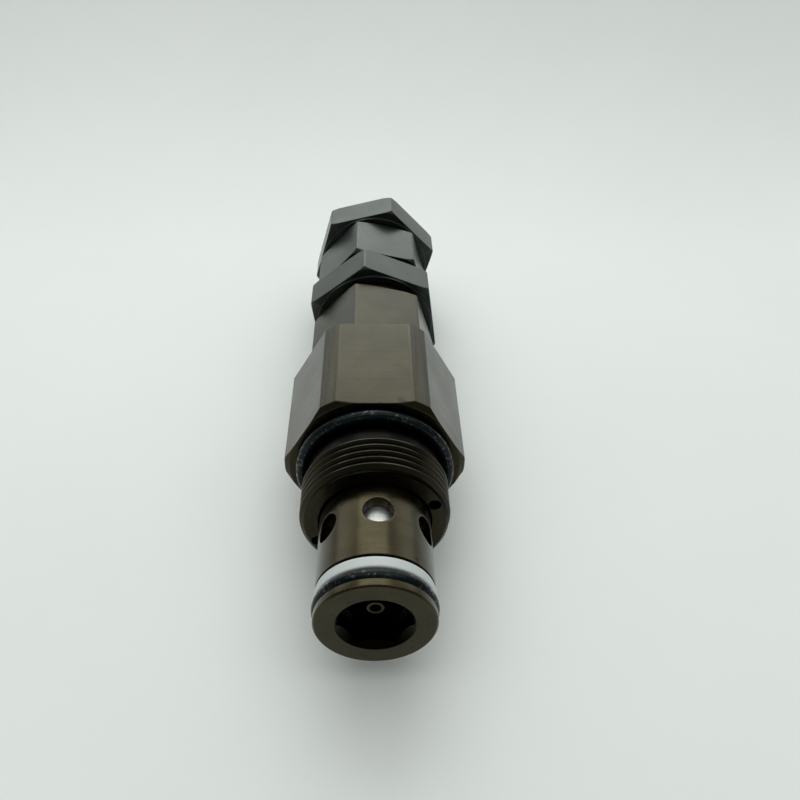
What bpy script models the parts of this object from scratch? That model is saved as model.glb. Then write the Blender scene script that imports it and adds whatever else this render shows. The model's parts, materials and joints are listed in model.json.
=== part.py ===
"""Pilot-operated relief cartridge valve with two pressure settings.

The valve lies on one flat of its large hexagon.  Its axis runs along +Y, from the
nose that enters the manifold to the adjusting screws at the rear.  Lengths are
metres.  A station is a distance along the axis, counted from the seating face of
the large hexagon: negative towards the nose, positive towards the rear.  The
world origin is the centre of the flat on which the valve rests.
"""

import math

import bmesh
import bpy
from mathutils import Matrix

MM = 0.001

# Clearances
GAP = 0.3 * MM
TINY = 1e-7

# Facets around a turned piece
OUTER_SIDES = 32
INNER_SIDES = 20

# Large hexagon of the body
HEX_AF = 41.0 * MM
HEX_LENGTH = 33.1 * MM
HEX_CORNER_RADIUS = 22.5 * MM

# Mounting thread, M36 x 2, drawn as separate ridges
THREAD_CREST = 17.6 * MM
THREAD_ROOT = 16.5 * MM
THREAD_PITCH = 2.0 * MM
THREAD_RIDGES = 5
FIRST_CREST = -8.5 * MM
NECK_RADIUS = 16.5 * MM
BODY_FACE = -18.7 * MM

# Drain holes in the body's front face
DRAIN_HOLE_RADIUS = 1.4 * MM
DRAIN_CIRCLE_RADIUS = 14.75 * MM
DRAIN_ANGLES = (66.0, 246.0)
DRAIN_CHAMBER = (10.0 * MM, 13.0 * MM)

# Sleeve
SLEEVE_RADIUS = 12.85 * MM
NOSE_RADIUS = 13.0 * MM
NOSE_FACE = -46.6 * MM
NOSE_GROOVE = (-44.65 * MM, -38.4 * MM)
NOSE_GROOVE_RADIUS = 10.2 * MM
SLEEVE_BORE = 10.3 * MM
SEAT_BORE = 6.2 * MM
SOCKET_AF = 14.0 * MM
SOCKET_FLOOR = -41.0 * MM
MOUTH_RADIUS = 8.5 * MM
PORT_COUNT = 6
PORT_RADIUS = 3.4 * MM
PORT_STATION = -26.2 * MM
PORT_TURN = 3.0

# Adjusting thread, M24 x 1.5
ADJUST_RADIUS = 12.0 * MM
ADJUST_ROOT = 11.2 * MM
ADJUST_PITCH = 1.5 * MM
ADJUST_BORE = ADJUST_RADIUS + GAP

# Hexagons behind the body
SMALL_HEX_AF = 32.0 * MM
SMALL_HEX_CORNER = 18.42 * MM
SMALL_HEX_TURN = -17.5
HOUSING_HEX_END = 59.2 * MM
HOUSING_END = 61.7 * MM
PLUG_HEX = (78.7 * MM, 99.0 * MM)
NUT_AF = 36.0 * MM
NUT_CORNER = 20.68 * MM
NUT_LENGTH = 11.2 * MM
NUT_BOSS_RADIUS = 17.6 * MM
NUT_BOSS_HEIGHT = 0.7 * MM
FRONT_NUT_STATION = 62.8 * MM
FRONT_NUT_TURN = -8.4
REAR_NUT_STATION = 100.1 * MM
REAR_NUT_TURN = 15.7

# Bores inside the housing and the plug
CHAMBER_BORE = 6.5 * MM
NOSE_BORE = 11.2 * MM
PISTON_BORE = 7.5 * MM
PILOT_PORT_RADIUS = 5.9 * MM
WRENCH_FLAT_AF = 19.0 * MM
SCREW_END = 118.8 * MM

MATERIALS = {
    "black_steel": ((0.105, 0.100, 0.088), 0.38, 0.90),
    "sleeve_steel": ((0.200, 0.180, 0.135), 0.32, 0.95),
    "nut_steel": ((0.230, 0.240, 0.225), 0.42, 0.90),
    "ground_steel": ((0.560, 0.560, 0.540), 0.28, 1.00),
    "spring_steel": ((0.330, 0.330, 0.330), 0.35, 1.00),
    "black_rubber": ((0.012, 0.015, 0.018), 0.35, 0.00),
    "white_ptfe": ((0.820, 0.840, 0.830), 0.60, 0.00),
}


def clear_scene():
    for item in list(bpy.data.objects):
        bpy.data.objects.remove(item, do_unlink=True)


def material(name):
    """The named surface, made the first time it is asked for."""
    found = bpy.data.materials.get(name)
    if found:
        return found
    colour, roughness, metallic = MATERIALS[name]
    made = bpy.data.materials.new(name)
    made.use_nodes = True
    shader = made.node_tree.nodes["Principled BSDF"]
    shader.inputs["Base Color"].default_value = (*colour, 1.0)
    shader.inputs["Roughness"].default_value = roughness
    shader.inputs["Metallic"].default_value = metallic
    return made


def place(name, shape, finish, parent, station=0.0, smooth=True):
    """Turn a bmesh into an object whose origin lies on the valve's axis."""
    bmesh.ops.recalc_face_normals(shape, faces=shape.faces)
    bmesh.ops.translate(shape, verts=shape.verts, vec=(0.0, -station, 0.0))
    mesh = bpy.data.meshes.new(name)
    shape.to_mesh(mesh)
    shape.free()
    if smooth:
        mesh.shade_smooth()
        mesh.set_sharp_from_angle(angle=math.radians(35.0))
    if finish:
        mesh.materials.append(material(finish))
    item = bpy.data.objects.new(name, mesh)
    bpy.context.collection.objects.link(item)
    item.parent = parent
    item.location = (0.0, station, 0.0)
    return item


def turned(outline, sides):
    """Solid of revolution about Y from a closed loop of (station, radius) points."""
    shape = bmesh.new()
    rings = []
    for station, radius in outline:
        if radius < TINY:
            centre = shape.verts.new((0.0, station, 0.0))
            rings.append([centre] * sides)
            continue
        angles = [2.0 * math.pi * side / sides for side in range(sides)]
        ring = [shape.verts.new((radius * math.sin(a), station, radius * math.cos(a))) for a in angles]
        rings.append(ring)
    for near, far in zip(rings, rings[1:] + rings[:1]):
        for side in range(sides):
            after = (side + 1) % sides
            corners = dict.fromkeys((near[side], near[after], far[after], far[side]))
            if len(corners) > 2:
                shape.faces.new(list(corners))
    return shape


def ring_seal(station, mean_radius, section_radius, sides, section_sides):
    """An O-ring: a circle of the section's radius, turned about the axis."""
    outline = []
    for step in range(section_sides):
        angle = 2.0 * math.pi * step / section_sides
        across = mean_radius + section_radius * math.cos(angle)
        outline.append((station + section_radius * math.sin(angle), across))
    return turned(outline, sides)


def coil(start, end, mean_radius, wire_radius, turns, steps_per_turn=9, wire_sides=5):
    """A compression spring: a round wire swept along a helix between two stations."""
    shape = bmesh.new()
    steps = int(turns * steps_per_turn)
    travel = end - start - 2.0 * wire_radius
    rings = []
    for step in range(steps + 1):
        share = step / steps
        angle = 2.0 * math.pi * turns * share
        ring = []
        for side in range(wire_sides):
            around = 2.0 * math.pi * side / wire_sides
            radius = mean_radius + wire_radius * math.cos(around)
            station = start + wire_radius + travel * share + wire_radius * math.sin(around)
            ring.append(shape.verts.new((radius * math.sin(angle), station, radius * math.cos(angle))))
        rings.append(ring)
    for near, far in zip(rings, rings[1:]):
        for side in range(wire_sides):
            after = (side + 1) % wire_sides
            shape.faces.new((near[side], near[after], far[after], far[side]))
    shape.faces.new(rings[0])
    shape.faces.new(rings[-1])
    return shape


def hex_prism(across_flats, start, end, turn_degrees):
    """A hexagonal bar; at turn 30 a flat faces up, at turn 0 a corner does."""
    radius = across_flats / 2.0 / math.cos(math.radians(30.0))
    shape = bmesh.new()
    ends = []
    for station in (start, end):
        angles = [math.radians(turn_degrees + 60.0 * corner) for corner in range(6)]
        ends.append([shape.verts.new((radius * math.sin(a), station, radius * math.cos(a))) for a in angles])
    for corner in range(6):
        after = (corner + 1) % 6
        shape.faces.new((ends[0][corner], ends[0][after], ends[1][after], ends[1][corner]))
    shape.faces.new(ends[0])
    shape.faces.new(ends[1])
    return shape


def radial_drills(radius, station, inner, outer, angles_degrees, sides):
    """Drill-shaped cylinders that stand out from the axis at the given angles."""
    shape = bmesh.new()
    for degrees in angles_degrees:
        upright = Matrix.Translation((0.0, station, (inner + outer) / 2.0))
        swing = Matrix.Rotation(math.radians(degrees), 4, "Y")
        bmesh.ops.create_cone(
            shape,
            cap_ends=True,
            segments=sides,
            radius1=radius,
            radius2=radius,
            depth=outer - inner,
            matrix=swing @ upright,
        )
    return shape


def axial_drills(radius, circle_radius, start, end, angles_degrees, sides):
    """Cylinders parallel to the axis, standing on a circle around it."""
    shape = bmesh.new()
    for degrees in angles_degrees:
        angle = math.radians(degrees)
        middle = (circle_radius * math.sin(angle), (start + end) / 2.0, circle_radius * math.cos(angle))
        lie_down = Matrix.Translation(middle) @ Matrix.Rotation(math.radians(90.0), 4, "X")
        bmesh.ops.create_cone(
            shape,
            cap_ends=True,
            segments=sides,
            radius1=radius,
            radius2=radius,
            depth=end - start,
            matrix=lie_down,
        )
    return shape


def apply_tool(item, tool_shape, operation, parent):
    """Cut or keep part of an object with a hidden tool."""
    tool = place(f"tool_{item.name}_{len(item.modifiers)}", tool_shape, None, parent, smooth=False)
    tool.hide_render = True
    tool.display_type = "WIRE"
    step = item.modifiers.new(tool.name, "BOOLEAN")
    step.operation = operation
    step.solver = "EXACT"
    step.object = tool


def ridges(first_crest, pitch, count, crest, root, direction):
    """Outline points of thread ridges, walked from the first crest in one direction."""
    half_crest = 0.075 * pitch
    half_foot = 0.39 * pitch
    points = []
    for number in range(count):
        middle = first_crest + direction * pitch * number
        points.append((middle - direction * half_foot, root))
        points.append((middle - direction * half_crest, crest))
        points.append((middle + direction * half_crest, crest))
        points.append((middle + direction * half_foot, root))
    return points


def make_valve_body(axis):
    last_crest = FIRST_CREST - THREAD_PITCH * (THREAD_RIDGES - 1)
    bore_front = SLEEVE_RADIUS + GAP
    outline = [
        (BODY_FACE, bore_front + GAP),
        (BODY_FACE, 16.4 * MM),
        (BODY_FACE + 0.5 * MM, 16.9 * MM),
    ]
    outline += ridges(last_crest, THREAD_PITCH, THREAD_RIDGES, THREAD_CREST, THREAD_ROOT, 1)
    outline += [
        (0.0, NECK_RADIUS),
        (0.0, 21.1 * MM),
        (0.8 * MM, HEX_CORNER_RADIUS),
        (HEX_LENGTH - 0.2 * MM, HEX_CORNER_RADIUS),
        (HEX_LENGTH, HEX_CORNER_RADIUS - 0.3 * MM),
        (HEX_LENGTH, 14.4 * MM),
        (HEX_LENGTH - 0.4 * MM, 14.0 * MM),
        (DRAIN_CHAMBER[1], 14.0 * MM),
        (DRAIN_CHAMBER[1], 16.4 * MM),
        (DRAIN_CHAMBER[0], 16.4 * MM),
        (DRAIN_CHAMBER[0], 12.3 * MM),
        (2.0 * MM, 12.3 * MM),
        (2.0 * MM, 9.7 * MM),
        (-1.0 * MM, 9.7 * MM),
        (-1.0 * MM, 11.8 * MM),
        (-13.6 * MM, 11.8 * MM),
        (-13.6 * MM, bore_front),
        (BODY_FACE + GAP, bore_front),
    ]
    body = place("valve_body", turned(outline, OUTER_SIDES), "black_steel", axis)
    hexagon = hex_prism(HEX_AF, BODY_FACE - 1.0 * MM, HEX_LENGTH + 1.0 * MM, 30.0)
    apply_tool(body, hexagon, "INTERSECT", axis)
    drill_end = sum(DRAIN_CHAMBER) / 2.0
    drain = axial_drills(
        DRAIN_HOLE_RADIUS, DRAIN_CIRCLE_RADIUS, BODY_FACE - 1.0 * MM, drill_end, DRAIN_ANGLES, 12
    )
    apply_tool(body, drain, "DIFFERENCE", axis)


def make_sleeve(axis):
    outline = [
        (NOSE_FACE, MOUTH_RADIUS),
        (NOSE_FACE, NOSE_RADIUS - 0.35 * MM),
        (NOSE_FACE + 0.35 * MM, NOSE_RADIUS),
        (NOSE_GROOVE[0], NOSE_RADIUS),
        (NOSE_GROOVE[0], NOSE_GROOVE_RADIUS),
        (NOSE_GROOVE[1], NOSE_GROOVE_RADIUS),
        (NOSE_GROOVE[1], SLEEVE_RADIUS),
        (-17.2 * MM, SLEEVE_RADIUS),
        (-17.2 * MM, 11.15 * MM),
        (-14.9 * MM, 11.15 * MM),
        (-14.9 * MM, SLEEVE_RADIUS),
        (-13.9 * MM, SLEEVE_RADIUS),
        (-13.9 * MM, 11.5 * MM),
        (-1.3 * MM, 11.5 * MM),
        (-1.3 * MM, SLEEVE_BORE),
        (-32.6 * MM, SLEEVE_BORE),
        (-35.8 * MM, SEAT_BORE),
        (NOSE_FACE + MOUTH_RADIUS - SEAT_BORE, SEAT_BORE),
    ]
    sleeve = place("sleeve", turned(outline, OUTER_SIDES), "sleeve_steel", axis)
    socket = hex_prism(SOCKET_AF, NOSE_FACE - 1.0 * MM, SOCKET_FLOOR, 30.0)
    apply_tool(sleeve, socket, "DIFFERENCE", axis)
    angles = [PORT_TURN + 360.0 * port / PORT_COUNT for port in range(PORT_COUNT)]
    ports = radial_drills(PORT_RADIUS, PORT_STATION, 7.6 * MM, 14.5 * MM, angles, 16)
    apply_tool(sleeve, ports, "DIFFERENCE", axis)


def make_outer_seals(axis):
    nose_seal = ring_seal(-43.05 * MM, 12.0 * MM, 1.38 * MM, OUTER_SIDES, 8)
    place("nose_o_ring", nose_seal, "black_rubber", axis, -43.05 * MM)
    backup = [
        (-41.45 * MM, NOSE_GROOVE_RADIUS + GAP),
        (-41.45 * MM, 12.95 * MM),
        (-38.95 * MM, 12.95 * MM),
        (-38.95 * MM, NOSE_GROOVE_RADIUS + GAP),
    ]
    place("nose_backup_ring", turned(backup, OUTER_SIDES), "white_ptfe", axis, -40.2 * MM)
    body_seal = ring_seal(-2.0 * MM, 18.2 * MM, 1.4 * MM, OUTER_SIDES, 8)
    place("body_o_ring", body_seal, "black_rubber", axis, -2.0 * MM)
    sleeve_seal = ring_seal(-16.05 * MM, 12.2 * MM, 0.85 * MM, INNER_SIDES, 6)
    place("sleeve_o_ring", sleeve_seal, "black_rubber", axis, -16.05 * MM)


def make_main_stage(axis):
    poppet = [
        (-37.2 * MM, 2.3 * MM),
        (-37.2 * MM, 4.5 * MM),
        (-34.3 * MM, 7.4 * MM),
        (-30.6 * MM, 7.4 * MM),
        (-30.2 * MM, 10.15 * MM),
        (-15.2 * MM, 10.15 * MM),
        (-15.0 * MM, 9.75 * MM),
        (-14.2 * MM, 9.75 * MM),
        (-14.0 * MM, 10.15 * MM),
        (-8.4 * MM, 10.15 * MM),
        (-8.0 * MM, 9.75 * MM),
        (-8.0 * MM, 6.5 * MM),
        (-30.0 * MM, 6.5 * MM),
        (-30.0 * MM, 2.3 * MM),
    ]
    place("main_poppet", turned(poppet, INNER_SIDES), "ground_steel", axis, -30.0 * MM)
    piston = [
        (-42.3 * MM, 1.2 * MM),
        (-42.3 * MM, 1.8 * MM),
        (-42.1 * MM, 2.0 * MM),
        (-29.7 * MM, 2.0 * MM),
        (-29.7 * MM, 5.9 * MM),
        (-28.2 * MM, 5.9 * MM),
        (-28.2 * MM, 3.4 * MM),
        (-25.0 * MM, 3.0 * MM),
        (-25.0 * MM, 0.7 * MM),
        (-40.0 * MM, 0.7 * MM),
        (-40.3 * MM, 1.2 * MM),
    ]
    place("orifice_piston", turned(piston, 16), "sleeve_steel", axis, -29.0 * MM)
    spring = coil(-27.9 * MM, 2.0 * MM, 5.2 * MM, 0.65 * MM, 9)
    place("main_spring", spring, "spring_steel", axis, -27.9 * MM)


def make_pilot_stage(axis):
    seat = [
        (-3.0 * MM, 1.0 * MM),
        (-3.0 * MM, 3.8 * MM),
        (-2.5 * MM, 4.2 * MM),
        (2.3 * MM, 4.2 * MM),
        (2.3 * MM, 12.0 * MM),
        (4.6 * MM, 12.0 * MM),
        (4.6 * MM, 10.4 * MM),
        (6.9 * MM, 10.4 * MM),
        (6.9 * MM, 12.0 * MM),
        (9.0 * MM, 12.0 * MM),
        (9.0 * MM, 2.3 * MM),
        (8.7 * MM, 2.0 * MM),
        (5.0 * MM, 2.0 * MM),
        (5.0 * MM, 1.0 * MM),
    ]
    place("pilot_seat", turned(seat, INNER_SIDES), "ground_steel", axis, 9.0 * MM)
    seal = ring_seal(5.75 * MM, 11.35 * MM, 0.8 * MM, INNER_SIDES, 6)
    place("pilot_seat_o_ring", seal, "black_rubber", axis, 5.75 * MM)
    cone = [
        (6.7 * MM, 0.0),
        (6.7 * MM, 0.5 * MM),
        (13.8 * MM, 4.6 * MM),
        (13.8 * MM, 5.6 * MM),
        (15.6 * MM, 5.6 * MM),
        (15.6 * MM, 3.0 * MM),
        (20.0 * MM, 2.7 * MM),
        (20.0 * MM, 0.0),
    ]
    place("pilot_poppet", turned(cone, 16), "ground_steel", axis, 9.0 * MM)
    spring = coil(15.9 * MM, 52.0 * MM, 4.25 * MM, 0.8 * MM, 10)
    place("pilot_spring", spring, "spring_steel", axis, 15.9 * MM)
    rest = [
        (47.0 * MM, 0.0),
        (47.0 * MM, 2.7 * MM),
        (52.3 * MM, 3.0 * MM),
        (52.3 * MM, 5.7 * MM),
        (54.7 * MM, 5.7 * MM),
        (55.0 * MM, 5.4 * MM),
        (55.0 * MM, 0.0),
    ]
    place("spring_seat", turned(rest, 16), "ground_steel", axis, 52.3 * MM)


def make_pilot_housing(axis):
    outline = [
        (9.3 * MM, CHAMBER_BORE),
        (9.3 * MM, 11.6 * MM),
        (9.7 * MM, 12.0 * MM),
        (13.4 * MM, 12.0 * MM),
        (14.2 * MM, 13.7 * MM),
        (29.3 * MM, 13.7 * MM),
        (29.3 * MM, 11.9 * MM),
        (31.9 * MM, 11.9 * MM),
        (31.9 * MM, 13.7 * MM),
        (HEX_LENGTH + GAP, 13.7 * MM),
        (HEX_LENGTH + GAP, SMALL_HEX_CORNER),
        (HOUSING_HEX_END - 1.0 * MM, SMALL_HEX_CORNER),
        (HOUSING_HEX_END, 17.0 * MM),
        (HOUSING_HEX_END, 15.6 * MM),
        (HOUSING_END, 15.6 * MM),
        (HOUSING_END, ADJUST_BORE + GAP),
        (HOUSING_END - GAP, ADJUST_BORE),
        (49.2 * MM, ADJUST_BORE),
        (49.2 * MM, NOSE_BORE),
        (36.5 * MM, NOSE_BORE),
        (36.5 * MM, CHAMBER_BORE),
    ]
    housing = place("pilot_housing", turned(outline, OUTER_SIDES), "black_steel", axis)
    hexagon = hex_prism(SMALL_HEX_AF, 8.0 * MM, HOUSING_END + 1.0 * MM, SMALL_HEX_TURN)
    apply_tool(housing, hexagon, "INTERSECT", axis)
    cross_holes = radial_drills(1.5 * MM, 11.5 * MM, 5.0 * MM, 13.0 * MM, (0.0, 180.0), 10)
    apply_tool(housing, cross_holes, "DIFFERENCE", axis)
    seal = ring_seal(30.6 * MM, 12.95 * MM, 0.9 * MM, OUTER_SIDES, 6)
    place("housing_o_ring", seal, "black_rubber", axis, 30.6 * MM)


def make_high_pressure_plug(axis):
    ridge_start = PLUG_HEX[0] - 5.4 * MM
    outline = [
        (40.5 * MM, 6.0 * MM),
        (40.5 * MM, 10.4 * MM),
        (41.0 * MM, 10.9 * MM),
        (43.2 * MM, 10.9 * MM),
        (43.2 * MM, 9.3 * MM),
        (45.8 * MM, 9.3 * MM),
        (45.8 * MM, 10.9 * MM),
        (52.6 * MM, 10.9 * MM),
        (53.3 * MM, ADJUST_RADIUS),
        (71.9 * MM, ADJUST_RADIUS),
    ]
    outline += ridges(ridge_start, ADJUST_PITCH, 4, ADJUST_RADIUS, ADJUST_ROOT, 1)
    outline += [
        (PLUG_HEX[0], ADJUST_ROOT),
        (PLUG_HEX[0], 17.3 * MM),
        (PLUG_HEX[0] + 0.9 * MM, SMALL_HEX_CORNER),
        (PLUG_HEX[1] - 1.7 * MM, SMALL_HEX_CORNER),
        (PLUG_HEX[1], 15.3 * MM),
        (PLUG_HEX[1], ADJUST_BORE + GAP),
        (PLUG_HEX[1] - GAP, ADJUST_BORE),
        (84.0 * MM, ADJUST_BORE),
        (84.0 * MM, PISTON_BORE),
        (59.2 * MM, PISTON_BORE),
        (59.2 * MM, 3.3 * MM),
        (57.2 * MM, 3.3 * MM),
        (57.2 * MM, 6.0 * MM),
    ]
    plug = place("high_pressure_plug", turned(outline, OUTER_SIDES), "nut_steel", axis)
    hexagon = hex_prism(SMALL_HEX_AF, 39.0 * MM, PLUG_HEX[1] + 1.0 * MM, SMALL_HEX_TURN)
    apply_tool(plug, hexagon, "INTERSECT", axis)
    seal = ring_seal(44.5 * MM, 10.25 * MM, 0.8 * MM, INNER_SIDES, 6)
    place("plug_o_ring", seal, "black_rubber", axis, 44.5 * MM)


def make_set_piston(axis):
    outline = [
        (55.3 * MM, 0.0),
        (55.3 * MM, 3.0 * MM),
        (63.5 * MM, 3.0 * MM),
        (63.5 * MM, 7.2 * MM),
        (67.0 * MM, 7.2 * MM),
        (67.0 * MM, 5.5 * MM),
        (69.4 * MM, 5.5 * MM),
        (69.4 * MM, 7.2 * MM),
        (74.0 * MM, 7.2 * MM),
        (74.0 * MM, 5.0 * MM),
        (77.0 * MM, 5.0 * MM),
        (77.0 * MM, 0.0),
    ]
    place("set_piston", turned(outline, INNER_SIDES), "ground_steel", axis, 63.5 * MM)
    seal = ring_seal(68.2 * MM, 6.5 * MM, 0.8 * MM, INNER_SIDES, 6)
    place("set_piston_o_ring", seal, "black_rubber", axis, 68.2 * MM)


def make_low_pressure_screw(axis):
    outline = [
        (77.3 * MM, 2.0 * MM),
        (77.3 * MM, 7.2 * MM),
        (79.6 * MM, 7.2 * MM),
        (79.6 * MM, 5.5 * MM),
        (82.0 * MM, 5.5 * MM),
        (82.0 * MM, 7.2 * MM),
        (86.5 * MM, 7.2 * MM),
        (87.3 * MM, ADJUST_RADIUS),
        (111.8 * MM, ADJUST_RADIUS),
    ]
    outline += ridges(112.6 * MM, ADJUST_PITCH, 1, ADJUST_RADIUS, ADJUST_ROOT, 1)
    outline += [
        (SCREW_END - 0.8 * MM, ADJUST_ROOT),
        (SCREW_END, ADJUST_ROOT - 0.8 * MM),
        (SCREW_END, PILOT_PORT_RADIUS + 0.8 * MM),
        (SCREW_END - 0.8 * MM, PILOT_PORT_RADIUS),
        (105.0 * MM, PILOT_PORT_RADIUS),
        (103.0 * MM, 2.0 * MM),
    ]
    screw = place("low_pressure_screw", turned(outline, 24), "nut_steel", axis)
    flats = bmesh.new()
    for side in (-1.0, 1.0):
        middle = (0.0, 117.2 * MM, side * (WRENCH_FLAT_AF / 2.0 + 3.0 * MM))
        size = Matrix.Diagonal((30.0 * MM, 5.4 * MM, 6.0 * MM, 1.0))
        turn = Matrix.Rotation(math.radians(REAR_NUT_TURN), 4, "Y")
        bmesh.ops.create_cube(flats, size=1.0, matrix=turn @ Matrix.Translation(middle) @ size)
    apply_tool(screw, flats, "DIFFERENCE", axis)
    seal = ring_seal(80.8 * MM, 6.5 * MM, 0.8 * MM, INNER_SIDES, 6)
    place("screw_o_ring", seal, "black_rubber", axis, 80.8 * MM)


def make_lock_nut(name, station, turn, axis):
    boss = station - NUT_BOSS_HEIGHT
    end = station + NUT_LENGTH
    outline = [
        (boss, ADJUST_BORE + 0.5 * MM),
        (boss, NUT_BOSS_RADIUS - 0.2 * MM),
        (boss + 0.2 * MM, NUT_BOSS_RADIUS),
        (station, NUT_BOSS_RADIUS),
        (station, 19.9 * MM),
        (station + 0.6 * MM, NUT_CORNER),
        (end - 0.8 * MM, NUT_CORNER),
        (end, 19.7 * MM),
        (end, ADJUST_BORE + 0.5 * MM),
        (end - 0.5 * MM, ADJUST_BORE),
        (boss + 0.5 * MM, ADJUST_BORE),
    ]
    nut = place(name, turned(outline, OUTER_SIDES), "nut_steel", axis)
    hexagon = hex_prism(NUT_AF, boss - 1.0 * MM, end + 1.0 * MM, turn)
    apply_tool(nut, hexagon, "INTERSECT", axis)


def build():
    clear_scene()
    axis = bpy.data.objects.new("valve_axis", None)
    bpy.context.collection.objects.link(axis)
    axis.location = (0.0, -HEX_LENGTH / 2.0, HEX_AF / 2.0)
    make_valve_body(axis)
    make_sleeve(axis)
    make_outer_seals(axis)
    make_main_stage(axis)
    make_pilot_stage(axis)
    make_pilot_housing(axis)
    make_high_pressure_plug(axis)
    make_set_piston(axis)
    make_low_pressure_screw(axis)
    make_lock_nut("front_lock_nut", FRONT_NUT_STATION, FRONT_NUT_TURN, axis)
    make_lock_nut("rear_lock_nut", REAR_NUT_STATION, REAR_NUT_TURN, axis)


build()
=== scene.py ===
"""Looks of the relief cartridge valve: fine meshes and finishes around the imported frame.

Every length is in metres.  A station is a distance along the valve's axis from the
seating face of the large hexagon, negative towards the nose.  Angles around the
axis start at the top and grow towards +X.
"""

import json
import math

import bmesh
import bpy
from mathutils import Matrix, Vector


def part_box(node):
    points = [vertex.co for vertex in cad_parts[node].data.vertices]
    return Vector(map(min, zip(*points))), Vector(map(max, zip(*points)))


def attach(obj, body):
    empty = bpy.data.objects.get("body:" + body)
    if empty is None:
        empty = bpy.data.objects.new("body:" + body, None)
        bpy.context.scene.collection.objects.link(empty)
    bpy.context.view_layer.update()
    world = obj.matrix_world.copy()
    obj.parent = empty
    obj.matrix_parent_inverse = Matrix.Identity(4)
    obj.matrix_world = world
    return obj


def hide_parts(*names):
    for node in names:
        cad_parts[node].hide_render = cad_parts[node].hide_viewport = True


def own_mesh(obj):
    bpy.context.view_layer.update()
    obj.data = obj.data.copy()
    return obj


MM = 0.001
WELD = 1e-7
STEP_ASIDE = 1e-6

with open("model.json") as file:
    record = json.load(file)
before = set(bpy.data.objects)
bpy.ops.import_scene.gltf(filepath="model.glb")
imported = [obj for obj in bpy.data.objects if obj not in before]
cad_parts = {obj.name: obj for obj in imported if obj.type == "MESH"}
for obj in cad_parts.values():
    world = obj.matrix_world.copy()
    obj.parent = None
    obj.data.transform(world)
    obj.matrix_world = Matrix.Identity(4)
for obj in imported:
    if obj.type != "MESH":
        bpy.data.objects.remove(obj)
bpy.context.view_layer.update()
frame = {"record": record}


def span(node):
    """First and last station and outer radius of a CAD node."""
    low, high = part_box(node)
    return low[1] - SEAT_Y, high[1] - SEAT_Y, (high[0] - low[0]) / 2.0


MOUNTS = {mount["name"]: mount for mount in frame["record"]["mounts"]}
SEAT_Y = MOUNTS["seating_face"]["pos_m"][1]
AXIS_Z = MOUNTS["top_wrench_flat"]["pos_m"][2] / 2.0
BODY_FACE, HEX_LENGTH, HEX_CORNER = span("valve_body")
HEX_APOTHEM = AXIS_Z
NOSE_FACE, SLEEVE_END, NOSE_RADIUS = span("sleeve")
HOUSING_START, HOUSING_END, _ = span("pilot_housing")
PLUG_START, PLUG_END, _ = span("high_pressure_plug")
SCREW_START, SCREW_END, THREAD24_CREST = span("low_pressure_screw")

# Corner angles of the hexagons; the large one has a flat on top
HEX_TURN = 30.0

# Mounting thread, M36 x 2
THREAD_CREST = 17.6 * MM
THREAD_ROOT = 16.5 * MM
THREAD_PITCH = 2.0 * MM
THREAD_REAR = -7.6 * MM
DRAIN_RADIUS = 1.4 * MM
DRAIN_CIRCLE = 14.75 * MM
DRAIN_ANGLES = (66.0, 246.0)
DRAIN_END = 11.5 * MM

# Adjusting threads, M24 x 1.5
THREAD24_ROOT = 11.2 * MM
THREAD24_PITCH = 1.5 * MM
THREAD24_BORE = 12.3 * MM

# Sleeve
SLEEVE_RADIUS = 12.85 * MM
SLEEVE_BORE = 10.3 * MM
SEAT_BORE = 6.2 * MM
MOUTH_RADIUS = 8.5 * MM
SOCKET_APOTHEM = 7.0 * MM
SOCKET_FLOOR = -41.0 * MM
LIP_CHAMFER = 0.35 * MM
GROOVE_FRONT = -44.65 * MM
GROOVE_REAR = -38.4 * MM
GROOVE_FLOOR = 10.2 * MM
PORT_COUNT = 6
PORT_RADIUS = 3.4 * MM
PORT_STATION = -26.2 * MM
PORT_TURN = 3.0
PORT_BAND = 5.2 * MM
PORT_SIDES = 40
PORT_EDGE = 0.18 * MM
PORT_INNER_EDGE = 0.1 * MM
PORT_EDGE_STEPS = 4
PORT_RIM_ASPECT = 0.8
PORT_RINGS = (0.12, 0.3, 0.6, 1.0)

# Hexagons behind the body
SMALL_APOTHEM = 16.0 * MM
SMALL_CORNER = 18.42 * MM
SMALL_TURN = -17.5
HOUSING_HEX_END = 59.2 * MM
PLUG_HEX = 78.7 * MM
NUT_APOTHEM = 18.0 * MM
NUT_CORNER = 20.68 * MM
NUT_BOSS_RADIUS = 17.6 * MM
NUT_BOSS_HEIGHT = 0.7 * MM
NUT_TURNS = {"front_lock_nut": -8.4, "rear_lock_nut": 15.7}
WRENCH_FLAT = 9.5 * MM
WRENCH_START = 114.5 * MM
PILOT_PORT = 5.9 * MM

# Springs: turns that lie closed at each end, their rise in wire radii, steps in a turn, and the
# turns left open between two parts of a spring, so that they never touch
CLOSED_TURNS = 0.75
CLOSED_RISE = 1.025
COIL_STEPS = 40
COIL_SEAM = 0.004

# Gap around pieces that are screwed or pressed together
CLEARANCE = 0.3 * MM

# Points around the turned pieces, spacing of rows on cones, and the angle that stays a sharp edge
HOLE_SIDES = 32
WIRE_SIDES = 14
SEAL_SIDES = 144
INNER_SIDES = 128
STEM_SIDES = 64
SOLID_SIDES = 96
SCREW_SIDES = 180
ROW_SPACING = 0.08 * MM
SHARP_ANGLE = 32.0

# Points around a hexagon, in degrees from the middle of a flat
HALF_FLAT = 30.0
FLAT_STEP = 3.0
NEAR_EDGE = (-1.6, -0.8, -0.4, -0.15, 0.15, 0.4, 0.8, 1.6)

# Backdrop
SWEEP_TILT = 50.0

# Camera
CAMERA_OFFSET = Vector((-0.84 * MM, -144.4 * MM, 139.8 * MM))
CAMERA_DOWN = 39.30
CAMERA_YAW = -2.608
CAMERA_ROLL = 1.719
SENSOR = 36.0
LENS = 36.16


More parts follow.
